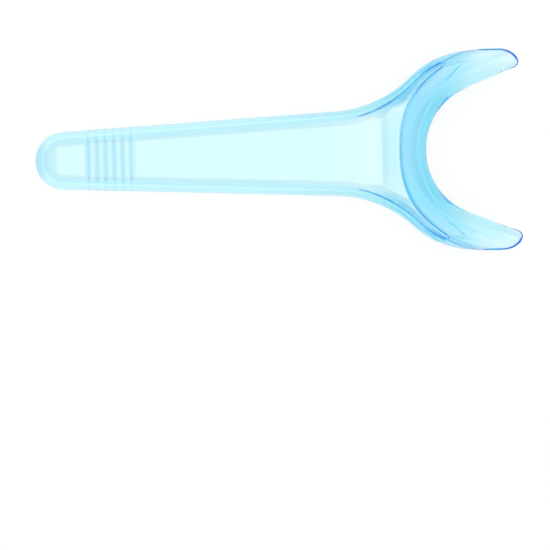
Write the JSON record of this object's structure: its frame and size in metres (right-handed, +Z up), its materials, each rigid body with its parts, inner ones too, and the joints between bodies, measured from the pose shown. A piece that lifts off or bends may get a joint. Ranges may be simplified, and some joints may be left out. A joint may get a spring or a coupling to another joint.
{
  "type": "dental cheek retractor",
  "caption": "Hand-held clear blue cheek retractor: tapered rimmed handle with thumb ribs, widening to a C-shaped hooked gutter that holds the lip and cheek aside.",
  "frame": {"origin": "centre of the bounding box, on the underside of the handle, where it lies on a table", "axes": "+X from the grip end to the arm tips, +Y to the left of that, +Z up, to the side the hook stands on"},
  "size_m": [0.1498, 0.0629, 0.0125],
  "materials": {
    "clear_polycarbonate": "polished clear moulding, light blue tint"
  },
  "bodies": {
    "root": {"cheek_retractor": "clear_polycarbonate"}
  },
  "joints": []
}
